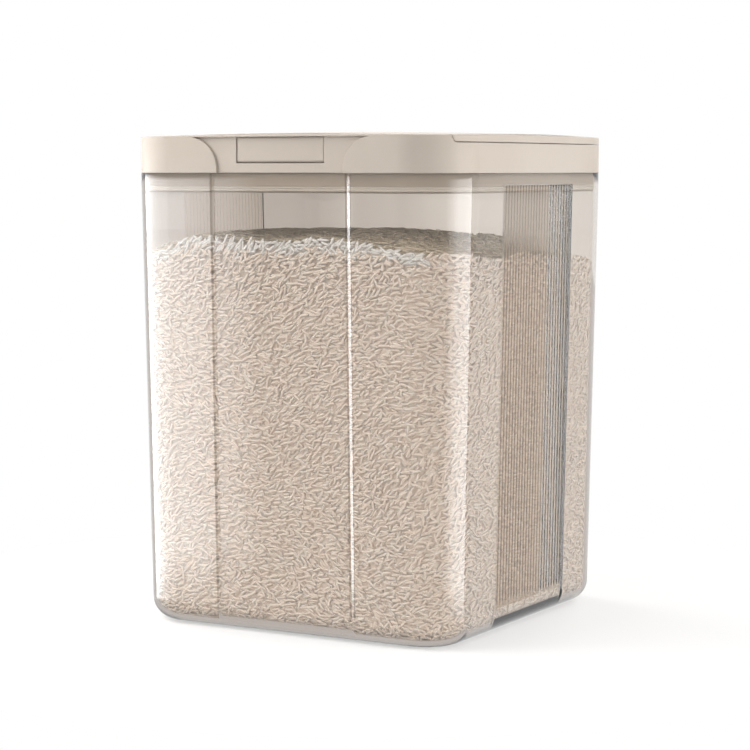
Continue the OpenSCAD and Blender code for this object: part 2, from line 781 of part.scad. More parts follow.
// Plug that closes the bore behind a pin
module hinge_plug(side) {
    color(cream) translate([0, hinge_y, hinge_z]) {
        side_rod(pin_r + pin_fit - 0.03, side, pin_to, roll_to);
        side_rod(pin_r + 0.9, side, roll_to, roll_to + 0.8);
    }
}
module hinge_plug_left() {
    hinge_plug(-1);
}
module hinge_plug_right() {
    hinge_plug(1);
}

// ---------------------------------------------------------------- what is drawn

container();
lid_frame();
under_pan();
pan_screws();
lid_gasket();
flip_cover();
cover_liner();
liner_screws();
cover_seal();
press_button();
button_spring_left();
button_spring_right();
button_guide();
guide_screws();
hinge_pin_left();
hinge_pin_right();
hinge_spring_left();
hinge_spring_right();
hinge_plug_left();
hinge_plug_right();
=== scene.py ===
import math

import bpy
import numpy as np
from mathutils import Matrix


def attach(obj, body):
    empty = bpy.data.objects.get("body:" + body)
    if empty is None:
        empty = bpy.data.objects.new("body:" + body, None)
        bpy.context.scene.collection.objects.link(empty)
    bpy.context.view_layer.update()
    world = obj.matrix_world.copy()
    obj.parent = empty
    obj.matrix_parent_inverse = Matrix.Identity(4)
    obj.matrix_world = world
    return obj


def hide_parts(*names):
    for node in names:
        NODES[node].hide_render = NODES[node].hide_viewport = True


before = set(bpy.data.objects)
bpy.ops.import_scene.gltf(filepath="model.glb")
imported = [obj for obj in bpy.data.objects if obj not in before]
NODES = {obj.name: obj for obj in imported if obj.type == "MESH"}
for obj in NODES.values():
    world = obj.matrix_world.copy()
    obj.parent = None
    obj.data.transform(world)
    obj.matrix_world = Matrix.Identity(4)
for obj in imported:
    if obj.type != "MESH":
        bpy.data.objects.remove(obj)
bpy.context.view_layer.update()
MM = 0.001

# ---------------------------------------------------------------- camera

AZIMUTH = math.radians(29.5616)     # from the front towards +X
PITCH = math.radians(5.0837)        # looking down
FOCAL_LENGTH = 111.517              # mm, on a sensor 36 mm wide
CAMERA_PLACE = (0.758738, -1.337294, 0.292969)

camera_data = bpy.data.cameras.new("camera")
camera_data.sensor_width = 36.0
camera_data.lens = FOCAL_LENGTH
camera_data.clip_start = 0.05
camera_data.clip_end = 60.0
camera = bpy.data.objects.new("camera", camera_data)
camera.location = CAMERA_PLACE
camera.rotation_euler = (math.pi / 2 - PITCH, 0.0, AZIMUTH)
bpy.context.scene.collection.objects.link(camera)
bpy.context.scene.camera = camera

# ---------------------------------------------------------------- node helpers

WHITE = (1.0, 1.0, 1.0, 1.0)


def tree_of(name):
    """New material and its empty node tree."""
    material = bpy.data.materials.new(name)
    material.use_nodes = True
    material.node_tree.nodes.clear()
    return material, material.node_tree


def add(tree, kind, **settings):
    """New node, with each setting on the input or the property of that name."""
    node = tree.nodes.new(kind)
    for key, value in settings.items():
        if hasattr(node, key) and key not in node.inputs:
            setattr(node, key, value)
        else:
            node.inputs[key].default_value = value
    return node


def link(tree, source, target):
    """Joins an output to an input."""
    tree.links.new(source, target)


def srgb(red, green, blue):
    """Linear colour of an sRGB one, with an alpha of 1."""
    def line(c):
        c /= 255.0
        return c / 12.92 if c <= 0.04045 else ((c + 0.055) / 1.055) ** 2.4
    return (line(red), line(green), line(blue), 1.0)


def noise(tree, scale, detail=3.0, roughness=0.5, stretch=(1.0, 1.0, 1.0)):
    """Noise in the object's own metres, with scale in waves a metre."""
    place = add(tree, "ShaderNodeTexCoord")
    mapping = add(tree, "ShaderNodeMapping")
    mapping.inputs["Scale"].default_value = stretch
    link(tree, place.outputs["Object"], mapping.inputs["Vector"])
    node = add(tree, "ShaderNodeTexNoise", Scale=scale, Detail=detail, Roughness=roughness)
    link(tree, mapping.outputs["Vector"], node.inputs["Vector"])
    return node.outputs["Fac"]


def ramp(tree, source, low, high, start=0.3, end=0.7):
    """Numbers from low to high as the source goes from start to end."""
    node = add(tree, "ShaderNodeMapRange")
    node.inputs["From Min"].default_value = start
    node.inputs["From Max"].default_value = end
    node.inputs["To Min"].default_value = low
    node.inputs["To Max"].default_value = high
    link(tree, source, node.inputs["Value"])
    return node.outputs["Result"]


def two_tone(tree, source, dark, light, start=0.35, end=0.65):
    """Colours from dark to light as the source goes from start to end."""
    node = add(tree, "ShaderNodeMix", data_type="RGBA")
    link(tree, ramp(tree, source, 0.0, 1.0, start, end), node.inputs[0])
    node.inputs[6].default_value = dark
    node.inputs[7].default_value = light
    return node.outputs[2]


def bump(tree, height, strength, distance, under=None):
    """Normal that is bumped by a height, on top of another normal where one is given."""
    node = add(tree, "ShaderNodeBump", Strength=strength, Distance=distance)
    link(tree, height, node.inputs["Height"])
    if under is not None:
        link(tree, under, node.inputs["Normal"])
    return node.outputs["Normal"]


def mixed(tree, share, first, second):
    """Shader that turns from the first into the second as the share goes from 0 to 1."""
    node = add(tree, "ShaderNodeMixShader")
    for source, socket in zip((share, first, second), node.inputs):
        link(tree, source, socket)
    return node.outputs[0]


def combined(tree, operation, first, second):
    """Result of a Math node on two sockets."""
    node = add(tree, "ShaderNodeMath", operation=operation)
    link(tree, first, node.inputs[0])
    link(tree, second, node.inputs[1])
    return node.outputs[0]


def surface(tree, source, output="ShaderNodeOutputMaterial"):
    """Ends a node tree in the source."""
    link(tree, source, add(tree, output).inputs["Surface"])


# ---------------------------------------------------------------- materials

EDGE_RADIUS = 0.0011    # m, over which the shading rounds the lid's edges
EDGE_SAMPLES = 4


def moulded(name, dark, light, rough=(0.34, 0.46), grain=0.00004, shine=0.3):
    """Satin moulded plastic: fine spark-eroded grain, faint flow marks and worn gloss."""
    material, tree = tree_of(name)
    shader = add(tree, "ShaderNodeBsdfPrincipled", IOR=1.5)
    shader.inputs["Specular IOR Level"].default_value = shine
    link(tree, two_tone(tree, noise(tree, scale=9.0, detail=4.0), dark, light), shader.inputs["Base Color"])
    link(tree, ramp(tree, noise(tree, scale=35.0, detail=4.0), *rough), shader.inputs["Roughness"])
    edges = add(tree, "ShaderNodeBevel", Radius=EDGE_RADIUS)
    edges.samples = EDGE_SAMPLES
    fine = bump(tree, noise(tree, scale=2600.0, detail=2.0), 0.35, grain, edges.outputs[0])
    wide = bump(tree, noise(tree, scale=24.0, detail=2.0), 0.25, 0.0003, fine)
    link(tree, wide, shader.inputs["Normal"])
    surface(tree, shader.outputs[0])
    return material


def clear_plastic(name, tint, rough=(0.0, 0.035)):
    """Warm clear plastic that lets the lamps reach what it holds."""
    material, tree = tree_of(name)
    shader = add(tree, "ShaderNodeBsdfPrincipled", IOR=1.5)
    shader.inputs["Transmission Weight"].default_value = 1.0
    shader.inputs["Base Color"].default_value = tint
    haze = noise(tree, scale=18.0, detail=5.0, roughness=0.6)
    link(tree, ramp(tree, haze, *rough, start=0.45, end=0.75), shader.inputs["Roughness"])
    waves = bump(tree, noise(tree, scale=14.0, detail=1.0), 0.05, 0.0004)
    link(tree, waves, shader.inputs["Normal"])
    passing = add(tree, "ShaderNodeBsdfTransparent", Color=WHITE)
    path = add(tree, "ShaderNodeLightPath")
    surface(tree, mixed(tree, path.outputs["Is Shadow Ray"], shader.outputs[0], passing.outputs[0]))
    return material


def rice_look(name, dark, light, powder, shine=0.35, rough=0.55):
    """Polished long-grain rice: pearly, with a powdery sheen and paler patches."""
    material, tree = tree_of(name)
    shader = add(tree, "ShaderNodeBsdfPrincipled", IOR=1.48)
    shader.inputs["Specular IOR Level"].default_value = shine
    shader.inputs["Roughness"].default_value = rough
    shader.inputs["Sheen Weight"].default_value = powder
    shader.inputs["Sheen Roughness"].default_value = 0.5
    patches = two_tone(tree, noise(tree, scale=210.0, detail=2.0), dark, light)
    link(tree, patches, shader.inputs["Base Color"])
    pits = noise(tree, scale=1500.0, detail=2.0)
    link(tree, bump(tree, pits, 0.3, 0.00012), shader.inputs["Normal"])
    surface(tree, shader.outputs[0])
    return material


def steel_look(name):
    """Drawn stainless steel."""
    material, tree = tree_of(name)
    shader = add(tree, "ShaderNodeBsdfPrincipled", Metallic=1.0)
    tone = two_tone(tree, noise(tree, scale=90.0, detail=3.0), srgb(176, 178, 182), srgb(205, 206, 208))
    link(tree, tone, shader.inputs["Base Color"])
    lines = noise(tree, scale=400.0, detail=2.0, stretch=(1.0, 14.0, 14.0))
    link(tree, ramp(tree, lines, 0.2, 0.38), shader.inputs["Roughness"])
    surface(tree, shader.outputs[0])
    return material


CREAM = moulded("cream_plastic", srgb(189, 178, 167), srgb(196, 186, 176))
BEIGE = moulded("beige_plastic", srgb(180, 167, 153), srgb(188, 176, 163), rough=(0.42, 0.55))
SILICONE = moulded("silicone", srgb(216, 207, 196), srgb(223, 215, 205), rough=(0.5, 0.62), grain=0.00003,
                   shine=0.35)
CLEAR = clear_plastic("clear_plastic", (0.93, 0.90, 0.865, 1.0))
# Darker tint of the clear plastic for narrow lines along the front panel's steps: painted shade
PAINTED_STEP_SHADE = clear_plastic("step_edge_painted_shade", (0.54, 0.49, 0.44, 1.0))
SHARP_FLUTES = clear_plastic("sharp_fluted_plastic", (0.82, 0.77, 0.71, 1.0), rough=(0.02, 0.05))
FLUTED = clear_plastic("fluted_plastic", (0.72, 0.62, 0.52, 1.0), rough=(0.20, 0.26))
RICE_WALL = rice_look("rice_at_wall", (0.95, 0.81, 0.705, 1.0), (0.99, 0.90, 0.815, 1.0), powder=0.7)
# Whiter copy of the same rice for the crest by the front and left walls: painted light
RICE_PAINTED_LIGHT = rice_look("rice_at_crest_painted_light", (0.985, 0.97, 0.945, 1.0), (0.99, 0.985, 0.97, 1.0), powder=1.0,
                       shine=1.0, rough=0.4)
# Darker, browner copy of the same rice for its open surface: painted shade of the lid over it
RICE_PAINTED_SHADE = rice_look("rice_on_top_painted_shade", (0.73, 0.63, 0.49, 1.0), (0.82, 0.73, 0.59, 1.0), powder=0.1)
STEEL = steel_look("steel")

FINISH = {"lid_plastic": CREAM, "pan_plastic": BEIGE, "silicone": SILICONE, "steel": STEEL,
          "clear_body": CLEAR}
SLOT_NODES = {
    "lid_plastic": ["lid_frame", "flip_cover", "press_button", "hinge_plug_left", "hinge_plug_right"],
    "pan_plastic": ["under_pan", "cover_liner", "button_guide"],
    "silicone": ["lid_gasket", "cover_seal"],
    "steel": ["pan_screws", "liner_screws", "guide_screws", "button_spring_left", "button_spring_right",
              "hinge_pin_left", "hinge_pin_right", "hinge_spring_left", "hinge_spring_right"],
    "clear_body": ["container"],
}
for slot_name, members in SLOT_NODES.items():
    for member in members:
        node_object = NODES[member]
        if not node_object.material_slots:
            node_object.data.materials.append(FINISH[slot_name])
        for material_slot in node_object.material_slots:
            material_slot.material = FINISH[slot_name]

# ---------------------------------------------------------------- container form, in mm

HALF = 120.0            # half the width and the depth at the rim
CORNER = 36.0           # radius of the upright corners at the rim
STRAIGHT = HALF - CORNER
HEIGHT = 290.0
STRIP_Z = 283.0         # lower edge of the upright strip
DRAFT = 5.8             # how far each side leans in at the base
FOOT = 14.0             # radius of the rounding round the base
WALL = 3.0
BASE = 3.4
FOOT_IN = FOOT - WALL
RIM_SOFT = 0.3          # rounding of the rim's edges

PANEL = 48.0            # half the width of a stepped panel
PANEL_STEP = 1.2        # of the front panel
SIDE_STEP = 0.65        # of the fluted panels
STEP_W = 2.6
STEP_FROM = FOOT / 3    # height at which a panel's step begins
STEP_RISE = FOOT / 2

FLUTES = 24
FLUTE_DEPTH = 0.19
FLUTE_Z = 17.0          # height at which a flute begins
FLUTE_FADE = 6.0
REAR_FLUTES = 14.0      # where the deeper flutes of the right panel begin
REAR_RUN = 2.0
REAR_EXTRA = 1.2        # what they are deeper by, as a share of the depth
FADE_OUT = 1.0          # height over which the side panels and their flutes end, below the strip

FLUTE_SAMPLES = 10
CORNER_SAMPLES = 28
STEP_SAMPLES = 7
PLAIN_SAMPLES = 13
QUARTER = np.linspace(0.0, math.pi / 2, 15)     # angles of a quarter round
RING_GAP = 20.0         # between the rings of a plain stretch

# Distances from a step's edge that bound the lines of painted shade along it
SHADE_LINE_NEAR = 0.15
SHADE_LINE_MID = 0.6
SHADE_LINE_FAR = 1.5


def ease(value, start, run):
    """Rises smoothly from 0 to 1 over a run."""
    t = np.clip((np.asarray(value, float) - start) / run, 0.0, 1.0)
    return t * t * (3.0 - 2.0 * t)


def lean(z):
    """How far a wall has leant in at a height."""
    return DRAFT * np.maximum(0.0, STRIP_Z - z) / STRIP_Z


def rounding(z, start, r):
    """How far a quarter round of radius r, which begins at a height, is in from the wall."""
    drop = np.clip(start + r - z, 0.0, r)
    return r - np.sqrt(np.maximum(0.0, r * r - drop * drop))


def side_samples(fluted):
    """Places along one side and, at each, the share of the panel's step and of a flute's depth."""
    edge = np.linspace(0.0, 1.0, STEP_SAMPLES)
    middle = np.linspace(-PANEL, PANEL, FLUTES * FLUTE_SAMPLES + 1 if fluted else PLAIN_SAMPLES)[1:-1]
    # Two places near the corner, then the edges of the painted shade lines beside the step
    outside = np.array([-STRAIGHT + 2.0, -STRAIGHT + 12.0, -PANEL - STEP_W - SHADE_LINE_FAR,
                        -PANEL - STEP_W - SHADE_LINE_MID, -PANEL - STEP_W - SHADE_LINE_NEAR])
    if not fluted:
        middle = np.concatenate([[SHADE_LINE_NEAR - PANEL, SHADE_LINE_FAR - PANEL], middle,
                                 [PANEL - SHADE_LINE_FAR, PANEL - SHADE_LINE_NEAR]])
    along = np.concatenate([outside, -PANEL - STEP_W + STEP_W * edge, middle, PANEL + STEP_W * edge,
                            -outside[::-1]])
    step = ease(PANEL + STEP_W - np.abs(along), 0.0, STEP_W)
    if not fluted:
        return along, step, np.zeros_like(along)
    ridge = np.abs(np.cos(math.pi * (along + PANEL) * FLUTES / (2 * PANEL)))
    return along, step, np.where(np.abs(along) < PANEL, 1.0 - ridge, 0.0)


SIDES = [side_samples(True), side_samples(False)]


def wall_ring(inset, z, step=0.0, flute=0.0, front_step=0.0):
    """One level of the container, anticlockwise from the right side's front end. The right and the left
    panels have flutes, the front's has none, and the back is plain."""
    r = CORNER - inset
    half = HALF - inset
    points = []
    for k, depth in enumerate((step, 0.0, step, front_step)):
        along, step_share, flute_share = SIDES[k % 2]
        deeper = 1.0 + REAR_EXTRA * ease(along, REAR_FLUTES, REAR_RUN) if k == 0 else 1.0
        out = half - depth * step_share - flute * flute_share * deeper
        turn = np.linspace(0.0, math.pi / 2, CORNER_SAMPLES + 1)
        x = np.concatenate([out, STRAIGHT + r * np.cos(turn)])
        y = np.concatenate([along, STRAIGHT + r * np.sin(turn)])
        c, s = round(math.cos(k * math.pi / 2)), round(math.sin(k * math.pi / 2))
        points.append(np.stack([c * x - s * y, s * x + c * y, np.full_like(x, z)], axis=1))
    return np.concatenate(points)


def mesh_object(name, vertices, faces, material, smooth=True):
    """Object from vertices in mm and faces, which may differ in their number of corners."""
    if isinstance(faces, np.ndarray):
        sizes = np.full(len(faces), faces.shape[1], np.int32)
        corners = faces.astype(np.int32).ravel()
    else:
        sizes = np.array([len(face) for face in faces], np.int32)
        corners = np.concatenate(faces).astype(np.int32)
    mesh = bpy.data.meshes.new(name)
    mesh.vertices.add(len(vertices))
    mesh.vertices.foreach_set("co", (np.asarray(vertices, float) * MM).astype(np.float32).ravel())
    mesh.loops.add(len(corners))
    mesh.loops.foreach_set("vertex_index", corners)
    mesh.polygons.add(len(sizes))
    mesh.polygons.foreach_set("loop_start", np.concatenate([[0], np.cumsum(sizes)[:-1]]).astype(np.int32))
    mesh.polygons.foreach_set("loop_total", sizes)
    mesh.update(calc_edges=True)
    mesh.validate()
    if smooth:
        mesh.shade_smooth()
    mesh.materials.append(material)
    piece = bpy.data.objects.new(name, mesh)
    bpy.context.scene.collection.objects.link(piece)
    return piece


def lofted(name, rings, material):
    """Closed skin through rings that each have the same number of points, with a fan at each end."""
    n, m = len(rings[0]), len(rings)
    ends = [np.append(ring.mean(0)[:2], ring[0, 2]) for ring in (rings[0], rings[-1])]
    vertices = np.concatenate(rings + [np.array(ends)])
    i = np.arange(n)
    j = (i + 1) % n
    band = np.stack([i, j, n + j, n + i], axis=1)
    quads = [band + k * n for k in range(m - 1)]
    first = np.stack([np.full(n, m * n), j, i], axis=1)
    last = np.stack([np.full(n, m * n + 1), (m - 1) * n + i, (m - 1) * n + j], axis=1)
    return mesh_object(name, vertices, [*np.concatenate(quads), *first, *last], material)


def container_rings():
    """Levels of the container's skin: up the outside, over the rim and down the inside."""
    rings = []

    def outer(z, inset=None):
        risen = float(ease(z, STEP_FROM, STEP_RISE))
        below = 1.0 - float(ease(z, STRIP_Z - FADE_OUT, FADE_OUT))
        flute = FLUTE_DEPTH * float(ease(z, FLUTE_Z, FLUTE_FADE)) * below
        place = lean(z) + rounding(z, 0.0, FOOT) if inset is None else inset
        rings.append(wall_ring(float(place), z, SIDE_STEP * risen * below, flute, PANEL_STEP * risen))

    def inner(z, inset=None):
        place = WALL + lean(z) + rounding(z, BASE, FOOT_IN) if inset is None else inset
        rings.append(wall_ring(float(place), z))

    for a in QUARTER:
        outer(FOOT * (1.0 - math.cos(a)))
    flute_starts = np.linspace(FLUTE_Z, FLUTE_Z + FLUTE_FADE, 7)
    panel_ends = np.linspace(STRIP_Z - FADE_OUT, STRIP_Z, 6)
    for z in [FOOT + 1.5, *flute_starts, *np.arange(40.0, 281.0, RING_GAP), *panel_ends, HEIGHT - RIM_SOFT]:
        outer(float(z))
    for a in QUARTER[2::4]:
        outer(HEIGHT - RIM_SOFT * (1 - math.sin(a)), RIM_SOFT * (1 - math.cos(a)))
    for a in QUARTER[::-1][::4]:
        inner(HEIGHT - RIM_SOFT * (1 - math.sin(a)), WALL - RIM_SOFT * (1 - math.cos(a)))
    for z in [STRIP_Z, *np.arange(270.0, 20.0, -RING_GAP)]:
        inner(float(z))
    for a in QUARTER[::-1]:
        inner(BASE + FOOT_IN * (1.0 - math.cos(a)))
    return rings


SHELL_LOOKS = [CLEAR, FLUTED, PAINTED_STEP_SHADE, SHARP_FLUTES]
SKIN = 0.3              # a face this far in still counts as the outer skin's
SHADE_LINES_END = 1.0         # how far below the rim the front's lines of painted shade end
LEFT_SHADE_LINE = 0.55        # share of the left step's width that its line of painted shade leaves plain
# The lines of painted shade lie on the outer part of the front's left step, and beside its right one,
# inside and outside
PAINTED_SHADE_LINES = ((-PANEL - STEP_W, -PANEL - LEFT_SHADE_LINE * STEP_W), (PANEL - SHADE_LINE_FAR, PANEL),
              (PANEL + STEP_W + SHADE_LINE_NEAR, PANEL + STEP_W + SHADE_LINE_MID))


def shell_look(x, y, z):
    """Material of the shell's face at a place."""
    front_skin = lean(z) - HALF + PANEL_STEP + SKIN
    fluted_skin = HALF - SIDE_STEP - (1.0 + REAR_EXTRA) * FLUTE_DEPTH - lean(z) - SKIN
    on_shade_line = any(low < x < high for low, high in PAINTED_SHADE_LINES)
    # Faces on these lines take the darker tint: painted shade
    if on_shade_line and y < front_skin and FOOT < z < HEIGHT - SHADE_LINES_END:
        return PAINTED_STEP_SHADE
    if abs(x) > fluted_skin and abs(y) < PANEL and FLUTE_Z < z < STRIP_Z - FADE_OUT:
        return SHARP_FLUTES if x > 0 and y > REAR_FLUTES + REAR_RUN else FLUTED
    return CLEAR


bin_shell = lofted("clear_bin", container_rings(), CLEAR)
for look in SHELL_LOOKS[1:]:
    bin_shell.data.materials.append(look)
for face in bin_shell.data.polygons:
    face.material_index = SHELL_LOOKS.index(shell_look(*(face.center / MM)))
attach(bin_shell, "bin")
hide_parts("container")

# ---------------------------------------------------------------- rice, in mm

FILL_KNOTS = np.array([-110.0, -60.0, -10.0, 40.0, 110.0])
# Heights of the rice at the knots. Rows run front to back, and each row runs left to right
FILL_HEIGHTS = np.array([
    [238.5, 250.5, 248.7, 250.2, 242.5],
    [246.0, 252.5, 253.8, 254.0, 238.5],
    [248.0, 252.0, 253.3, 252.5, 240.0],
    [248.0, 251.0, 251.5, 249.5, 237.0],
    [246.0, 249.0, 249.5, 246.0, 231.0]])
SLUMP = 1.2             # how far the rice sinks where it meets the wall
SLUMP_FROM = 4.0
SLUMP_RUN = 5.0

STRAIGHT_SHARE = 0.78   # share of one unit along the wall that its straight part takes
FILL_V = 255.0          # how far up the inside's profile the grains reach

GRAIN_SIDES = 5
GRAIN_RINGS = ((-0.52, 0.86), (0.46, 1.0))      # place and radius, as shares of half the length and width
GRAIN_LENGTH = 7.4
LENGTH_SPREAD = 0.6
GRAIN_WIDTH = 2.0
WIDTH_SPREAD = 0.12
GRAIN_FLATNESS = 0.26   # thickness as a share of the width

# Depth in from the wall, rows up the wall, grains in a row, and tilt out of the wall's plane
WALL_LAYERS = ((0.75, 101, 50, 0.03), (1.25, 82, 42, 0.08))
DEPTH_SPREAD = 0.25
MEAN_ANGLE = 0.25       # of a grain from level, in the wall's plane
ANGLE_SPREAD = 0.5
SWIRL_ANGLE = 0.3
NUDGE = 0.002           # step along the wall that finds its direction
WALL_SEED = 11
# Lift above the surface, grains along each side, and tilt out of the level
TOP_LAYERS = ((-1.4, 62, 0.22), (0.0, 64, 0.3))
TOP_HALF = 115.0
LIFT_SPREAD = 0.35
TOP_CLEAR = 2.6         # between the wall and the centre of a grain
FILL_EDGE_Z = 240.0     # about where the rice meets the wall
TURN_FROM = 6.0         # distance from the rim at which grains begin to lie along the wall
TURN_RUN = 2.5
LIE_FLAT = 0.8          # how fully a grain follows the slope
TOP_SEED = 29
CREST = 7.0             # how far down the crest reaches, whose grains are painted whiter: painted light
CREST_X = 100.0         # and how far to the right
CREST_RAGGED = 1.6      # spread of the crest's lower edge
LEFT_SIDE = 2           # the crest's painted light is on this side of the bin and on the one after it, the front

CORE_DEPTH = 1.7        # of the core's skin, in from the wall
CORE_DROP = 3.0         # of the core's skin, below the surface
CORE_TOP_V = 222.0
CORE_COLUMNS = 40       # on each side


def smooth_row(values, x):
    """Smooth curve through knots, along the last axis of values."""
    x = np.clip(x, FILL_KNOTS[0], FILL_KNOTS[-1])
    k = np.clip(np.searchsorted(FILL_KNOTS, x) - 1, 0, len(FILL_KNOTS) - 2)
    t = (x - FILL_KNOTS[k]) / (FILL_KNOTS[k + 1] - FILL_KNOTS[k])
    t = t * t * (3 - 2 * t)
    rows = np.arange(len(x))
    return values[rows, k] * (1 - t) + values[rows, k + 1] * t


def wall_gap(x, y):
    """Distance in from the rim's outline."""
    qx, qy = np.abs(x) - STRAIGHT, np.abs(y) - STRAIGHT
    outside = np.hypot(np.maximum(qx, 0), np.maximum(qy, 0)) + np.minimum(np.maximum(qx, qy), 0)
    return CORNER - outside


def fill_height(x, y):
    """Height of the rice, which slumps a little where it meets the wall."""
    x, y = np.asarray(x, float), np.asarray(y, float)
    columns = np.stack([smooth_row(np.tile(row, (x.size, 1)), x.ravel()) for row in FILL_HEIGHTS], axis=1)
    level = smooth_row(columns, y.ravel()).reshape(x.shape)
    # Ripples some 70 to 180 mm long
    ripple = 0.5 * np.sin(x / 13.0 + 0.6 * np.sin(y / 17.0)) + 0.4 * np.sin(y / 11.0 + x / 29.0)
    slump = SLUMP * np.exp(-np.maximum(0.0, wall_gap(x, y) - SLUMP_FROM) / SLUMP_RUN)
    return level + ripple - slump


def inner_place(s, v, depth):
    """Point at s along the wall (0 to 4, one unit a side with its corner), v up the inside's profile from
    the floor and a depth in from it."""
    arc = FOOT_IN * math.pi / 2
    a = np.clip(v, 0.0, arc) / FOOT_IN
    z = BASE + FOOT_IN * (1 - np.cos(a)) + np.maximum(0.0, v - arc)
    inset = WALL + lean(z) + FOOT_IN * (1 - np.sin(a))
    side = np.floor(s)
    t = s - side
    on_side = t < STRAIGHT_SHARE
    along = np.where(on_side, (t / STRAIGHT_SHARE * 2 - 1) * STRAIGHT, STRAIGHT)
    turn = np.where(on_side, 0.0, (t - STRAIGHT_SHARE) / (1 - STRAIGHT_SHARE) * math.pi / 2)
    inset_all = inset + depth * np.sin(np.minimum(a + 1e-9, math.pi / 2))
    z = z + depth * np.cos(a)
    r = CORNER - inset_all
    x = STRAIGHT + r * np.cos(turn)
    y = np.where(on_side, along, STRAIGHT + r * np.sin(turn))
    angle = side * math.pi / 2
    c, sn = np.cos(angle), np.sin(angle)
    return np.stack([c * x - sn * y, sn * x + c * y, z], axis=1)


def unit(v):
    """Each row at a length of 1."""
    return v / np.maximum(1e-9, np.linalg.norm(v, axis=1, keepdims=True))


def dot(a, b):
    """Dot product of each row with the other's."""
    return (a * b).sum(1, keepdims=True)


def grain_mesh(name, centres, axes, ups, sizes, material):
    """Grains as one mesh: two tips and two rings each, blunt at one end."""
    turn = np.arange(GRAIN_SIDES) * 2 * math.pi / GRAIN_SIDES
    local = [[-1.0, 0.0, 0.0]]
    for at, r in GRAIN_RINGS:
        local += [[at, r * math.cos(t), r * math.sin(t)] for t in turn]
    local.append([1.0, 0.0, 0.0])
    local = np.array(local)
    half = sizes / 2
    reach = (axes * half[:, 0:1], np.cross(axes, ups) * half[:, 1:2], ups * half[:, 2:3])
    vertices = centres[:, None, :]
    for k, direction in enumerate(reach):
        vertices = vertices + local[None, :, k:k + 1] * direction[:, None, :]
    g = GRAIN_SIDES
    faces = []
    for i in range(g):
        j = (i + 1) % g
        faces += [[0, 1 + j, 1 + i], [1 + i, 1 + j, 1 + g + j], [1 + i, 1 + g + j, 1 + g + i],
                  [1 + g + i, 1 + g + j, 1 + 2 * g]]
    first_corners = len(local) * np.arange(len(centres))
    all_faces = (np.array(faces)[None, :, :] + first_corners[:, None, None]).reshape(-1, 3)
    return mesh_object(name, vertices.reshape(-1, 3), all_faces, material)


def jitter_grid(rng, span_a, span_b, count_a, count_b):
    """Places spread over two spans, each at random in its own cell of a grid."""
    a, b = np.meshgrid(np.arange(count_a), np.arange(count_b), indexing="ij")
    a = (a + rng.random(a.shape)) / count_a
    b = (b + rng.random(b.shape)) / count_b
    return span_a[0] + a.ravel() * (span_a[1] - span_a[0]), span_b[0] + b.ravel() * (span_b[1] - span_b[0])


def grain_sizes(rng, n):
    """Length, width and thickness of each grain."""
    length = rng.normal(GRAIN_LENGTH, LENGTH_SPREAD, n)
    width = rng.normal(GRAIN_WIDTH, WIDTH_SPREAD, n)
    return np.stack([length, width, width * GRAIN_FLATNESS], axis=1)


def wall_grains(side, seed):
    """Grains that lie against one side of the bin and the corner after it, and how far each is below the
    surface."""
    rng = np.random.default_rng(seed)
    layers = []
    for depth, rows, columns, tilt in WALL_LAYERS:
        v, s = jitter_grid(rng, (0.0, FILL_V), (side, side + 1.0), rows, columns)
        deep = depth + rng.random(len(s)) * DEPTH_SPREAD
        here = inner_place(s, v, deep)
        ahead = inner_place(np.minimum(s + NUDGE, side + 0.9999), v, deep)
        along = unit(ahead - inner_place(s - NUDGE, v, deep) + 1e-9)
        upward = unit(inner_place(s, v + 0.5, deep) - here)
        inward = unit(np.cross(upward, along))
        # Waves in the grains' direction, some 145 to 260 mm long
        swirl = (0.9 * np.sin(here[:, 0] / 37.0 + here[:, 2] / 41.0 + side)
                 + 0.5 * np.sin(here[:, 2] / 23.0 - here[:, 1] / 31.0))
        angle = MEAN_ANGLE + SWIRL_ANGLE * swirl + rng.normal(0.0, ANGLE_SPREAD, len(s))
        axis = np.cos(angle)[:, None] * along + np.sin(angle)[:, None] * upward
        axis = unit(axis + rng.normal(0.0, tilt, len(s))[:, None] * inward)
        up = unit(inward - dot(inward, axis) * axis)
        below = fill_height(here[:, 0], here[:, 1]) - here[:, 2]
        keep = below > 0.2
        layers.append([part[keep] for part in (here, axis, up, below)])
    centres, axes, ups, depths = (np.concatenate(parts) for parts in zip(*layers))
    grains = [centres, axes, ups, grain_sizes(rng, len(centres))]
    return grains, depths + rng.normal(0.0, CREST_RAGGED, len(depths))


def top_grains(seed):
    """Grains of the rice's open surface."""
    rng = np.random.default_rng(seed)
    layers = []
    for lift, count, tilt in TOP_LAYERS:
        x, y = jitter_grid(rng, (-TOP_HALF, TOP_HALF), (-TOP_HALF, TOP_HALF), count, count)
        z = fill_height(x, y) + lift + rng.normal(0.0, LIFT_SPREAD, len(x))
        keep = wall_gap(x, y) > WALL + float(lean(FILL_EDGE_Z)) + TOP_CLEAR
        x, y, z = x[keep], y[keep], z[keep]
        slope_x = fill_height(x + 0.5, y) - fill_height(x - 0.5, y)
        slope_y = fill_height(x, y + 0.5) - fill_height(x, y - 0.5)
        normal = unit(np.stack([-slope_x, -slope_y, np.ones_like(slope_x)], axis=1))
        angle = rng.random(len(x)) * 2 * math.pi
        axis = np.stack([np.cos(angle), np.sin(angle), rng.normal(0.0, tilt, len(x))], axis=1)
        # Near the wall the grains turn to lie along it
        near = np.exp(-np.maximum(0.0, wall_gap(x, y) - TURN_FROM) / TURN_RUN)
        radial = unit(np.stack([np.sign(x) * (np.abs(x) > np.abs(y)), np.sign(y) * (np.abs(y) >= np.abs(x)),
                                np.zeros_like(x)], axis=1))
        axis = axis - near[:, None] * dot(axis, radial) * radial
        axis = unit(axis - LIE_FLAT * dot(axis, normal) * normal)
        up = unit(normal - dot(normal, axis) * axis)
        layers.append([np.stack([x, y, z], axis=1), axis, up])
    centres, axes, ups = (np.concatenate(parts) for parts in zip(*layers))
    return centres, axes, ups, grain_sizes(rng, len(centres))


